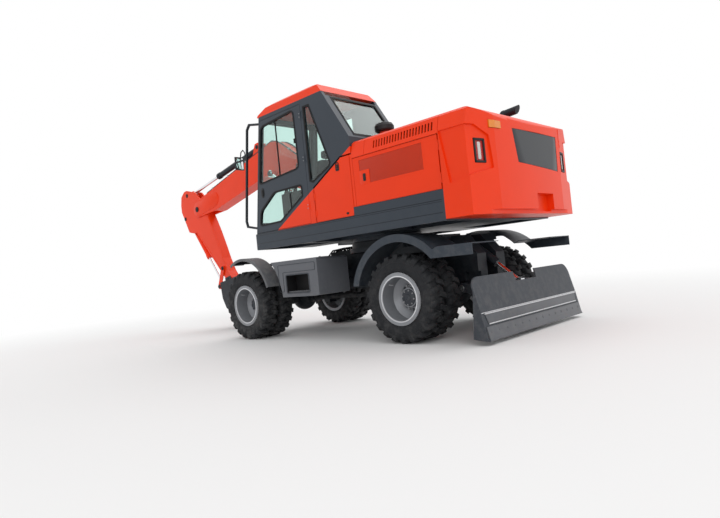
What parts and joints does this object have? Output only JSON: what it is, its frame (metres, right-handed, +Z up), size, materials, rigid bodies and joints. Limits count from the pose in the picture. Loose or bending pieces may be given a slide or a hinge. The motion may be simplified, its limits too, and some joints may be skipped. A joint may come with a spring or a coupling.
{
  "type": "wheeled excavator",
  "caption": "Wheeled excavator on twin tyres with a closed cab, one-piece boom, digging arm and bucket, a rear dozer blade and steering front wheels.",
  "frame": {"origin": "middle of the bounding box, on the ground under the tyres", "axes": "+X forward along the boom, +Y to the cab side, +Z up"},
  "size_m": [7.7908, 2.24, 3.19],
  "materials": {
    "paint": "gloss red-orange paint",
    "slate": "satin dark blue-grey paint",
    "black_paint": "satin black paint",
    "grey_paint": "satin mid grey paint",
    "rim_paint": "satin pale silver paint",
    "rod": "polished hard chrome",
    "tyre": "matt dark rubber",
    "glass": "clear glass with a pale green tint",
    "lamp": "gloss lens",
    "plastic": "matt black plastic",
    "fabric": "dark woven cloth",
    "cast": "dark cast iron"
  },
  "bodies": {
    "chassis": {"chassis_frame": "black_paint", "side_boxes": "grey_paint", "rear_guards": "grey_paint", "front_axle": "black_paint", "rear_axle": "black_paint", "gearbox_and_shafts": "cast"},
    "steer_left": {"knuckle_left": "black_paint", "front_guard_left": "grey_paint"},
    "steer_right": {"knuckle_right": "black_paint", "front_guard_right": "grey_paint"},
    "wheel_front_left": {"front_tyres_left": "tyre", "front_rims_left": "rim_paint"},
    "wheel_front_right": {"front_tyres_right": "tyre", "front_rims_right": "rim_paint"},
    "wheel_rear_left": {"rear_tyres_left": "tyre", "rear_rims_left": "rim_paint"},
    "wheel_rear_right": {"rear_tyres_right": "tyre", "rear_rims_right": "rim_paint"},
    "blade_body": {"blade": "grey_paint"},
    "blade_cylinder": {"blade_barrel": "black_paint"},
    "blade_piston": {"blade_rod": "rod"},
    "upper": {"platform": "slate", "counterweight": "paint", "lamps": "lamp", "hood_cowl": "paint", "precleaner": "plastic", "exhaust": "black_paint", "engine_block": "cast", "swing_gear": "cast", "right_tank": "paint", "right_box": "paint", "cab_shell": "slate", "cab_roof": "paint", "cab_glass": "glass", "seat": "fabric", "cab_controls": "plastic", "rails_and_mirrors": "black_paint"},
    "side_door": {"side_door_left": "paint"},
    "engine_door_left": {"hood_door_left": "paint"},
    "engine_door_right": {"hood_door_right": "paint"},
    "engine_lid": {"hood_lid": "paint"},
    "door": {"cab_door": "slate", "door_glass": "glass"},
    "boom_body": {"boom": "paint"},
    "boom_cylinders": {"boom_barrels": "paint"},
    "boom_pistons": {"boom_rods": "rod"},
    "arm_body": {"arm": "paint"},
    "arm_cylinder": {"arm_barrel": "black_paint"},
    "arm_piston": {"arm_rod": "rod"},
    "bucket_body": {"bucket": "black_paint"},
    "bucket_cylinder": {"bucket_barrel": "paint"},
    "bucket_piston": {"bucket_rod": "rod"},
    "idler": {"idler_links": "paint"},
    "link": {"bucket_link": "paint"}
  },
  "joints": [
    {"name": "swing", "type": "hinge", "parent": "chassis", "child": "upper", "pos_m": [-1.6954, 0, 1.2], "axis": [0, 0, 1], "continuous": true},
    {"name": "steer_left", "type": "hinge", "parent": "chassis", "child": "steer_left", "pos_m": [0.1546, 0.62, 0.49], "axis": [0, 0, 1], "range_deg": [-25, 25]},
    {"name": "steer_right", "type": "hinge", "parent": "chassis", "child": "steer_right", "pos_m": [0.1546, -0.62, 0.49], "axis": [0, 0, 1], "range_deg": [-25, 25]},
    {"name": "spin_front_left", "type": "hinge", "parent": "steer_left", "child": "wheel_front_left", "pos_m": [0.1546, 0.86, 0.49], "axis": [0, 1, 0], "continuous": true},
    {"name": "spin_front_right", "type": "hinge", "parent": "steer_right", "child": "wheel_front_right", "pos_m": [0.1546, -0.86, 0.49], "axis": [0, 1, 0], "continuous": true},
    {"name": "spin_rear_left", "type": "hinge", "parent": "chassis", "child": "wheel_rear_left", "pos_m": [-2.7454, 0.86, 0.49], "axis": [0, 1, 0], "continuous": true},
    {"name": "spin_rear_right", "type": "hinge", "parent": "chassis", "child": "wheel_rear_right", "pos_m": [-2.7454, -0.86, 0.49], "axis": [0, 1, 0], "continuous": true},
    {"name": "blade_lift", "type": "hinge", "parent": "chassis", "child": "blade_body", "pos_m": [-3.0454, 0, 0.52], "axis": [0, 1, 0], "range_deg": [-10, 25]},
    {"name": "blade_cylinder_tilt", "type": "hinge", "parent": "chassis", "child": "blade_cylinder", "pos_m": [-2.9604, 0, 1.085], "axis": [0, 1, 0], "range_deg": [-8, 15]},
    {"name": "blade_rod_slide", "type": "slide", "parent": "blade_cylinder", "child": "blade_piston", "axis": [-0.7618, 0, -0.6478], "range_m": [-0.185, 0.08]},
    {"name": "side_door_open", "type": "hinge", "parent": "upper", "child": "side_door", "pos_m": [-1.5494, 1.115, 1.7], "axis": [0, 0, 1], "range_deg": [-80, 0]},
    {"name": "engine_door_left_open", "type": "hinge", "parent": "upper", "child": "engine_door_left", "pos_m": [-3.4634, 1.115, 1.85], "axis": [0, 0, 1], "range_deg": [0, 85]},
    {"name": "engine_door_right_open", "type": "hinge", "parent": "upper", "child": "engine_door_right", "pos_m": [-3.4634, -1.115, 1.85], "axis": [0, 0, 1], "range_deg": [-85, 0]},
    {"name": "engine_lid_open", "type": "hinge", "parent": "upper", "child": "engine_lid", "pos_m": [-2.9454, -0.4975, 2.335], "axis": [1, 0, 0], "range_deg": [0, 60]},
    {"name": "cab_door_open", "type": "hinge", "parent": "upper", "child": "door", "pos_m": [-1.4414, 1.11, 2.3], "axis": [0, 0, 1], "range_deg": [0, 170]},
    {"name": "boom_lift", "type": "hinge", "parent": "upper", "child": "boom_body", "pos_m": [-0.9954, -0.17, 1.86], "axis": [0, 1, 0], "range_deg": [-55, 52]},
    {"name": "boom_cylinder_tilt", "type": "hinge", "parent": "upper", "child": "boom_cylinders", "pos_m": [-0.7394, -0.17, 1.335], "axis": [0, 1, 0], "range_deg": [-52, 50]},
    {"name": "boom_rod_slide", "type": "slide", "parent": "boom_cylinders", "child": "boom_pistons", "axis": [0.7503, 0, 0.6611], "range_m": [-0.49, 0.52]},
    {"name": "arm_swing", "type": "hinge", "parent": "boom_body", "child": "arm_body", "pos_m": [3.2046, -0.17, 2.335], "axis": [0, -1, 0], "range_deg": [-30, 80]},
    {"name": "arm_cylinder_tilt", "type": "hinge", "parent": "boom_body", "child": "arm_cylinder", "pos_m": [1.1346, -0.17, 3.12], "axis": [0, -1, 0], "range_deg": [-5, 5]},
    {"name": "arm_rod_slide", "type": "slide", "parent": "arm_cylinder", "child": "arm_piston", "axis": [0.9843, 0, -0.1764], "range_m": [-0.7, 0.28]},
    {"name": "bucket_curl", "type": "hinge", "parent": "arm_body", "child": "bucket_body", "pos_m": [2.3546, -0.17, 0.88], "axis": [0, -1, 0], "range_deg": [-42, 105]},
    {"name": "idler_tilt", "type": "hinge", "parent": "arm_body", "child": "idler", "pos_m": [2.52885, -0.17, 1.1188], "axis": [0, -1, 0], "range_deg": [-40, 85]},
    {"name": "link_tilt", "type": "hinge", "parent": "idler", "child": "link", "pos_m": [2.69542, -0.17, 0.77944], "axis": [0, -1, 0], "range_deg": [-60, 25]},
    {"name": "bucket_cylinder_tilt", "type": "hinge", "parent": "arm_body", "child": "bucket_cylinder", "pos_m": [3.76598, -0.17, 2.21551], "axis": [0, -1, 0], "range_deg": [-8, 8]},
    {"name": "bucket_rod_slide", "type": "slide", "parent": "bucket_cylinder", "child": "bucket_piston", "axis": [-0.5977, 0, -0.8017], "range_m": [-0.52, 0.22]}
  ],
  "couplings": [
    {"joint": "steer_right", "follows": "steer_left", "ratio": 1},
    {"joint": "blade_cylinder_tilt", "follows": "blade_lift", "ratio": 0.4807},
    {"joint": "blade_rod_slide", "follows": "blade_lift", "m_per_rad": -0.40367},
    {"joint": "boom_cylinder_tilt", "follows": "boom_lift", "ratio": 0.90706},
    {"joint": "boom_rod_slide", "follows": "boom_lift", "m_per_rad": -0.52086},
    {"joint": "arm_cylinder_tilt", "follows": "arm_swing", "ratio": 0.05782},
    {"joint": "arm_rod_slide", "follows": "arm_swing", "m_per_rad": -0.47664},
    {"joint": "idler_tilt", "follows": "bucket_curl", "ratio": 0.72051},
    {"joint": "link_tilt", "follows": "bucket_curl", "ratio": -0.45166},
    {"joint": "bucket_cylinder_tilt", "follows": "bucket_curl", "ratio": 0.00823},
    {"joint": "bucket_rod_slide", "follows": "bucket_curl", "m_per_rad": -0.2471}
  ]
}
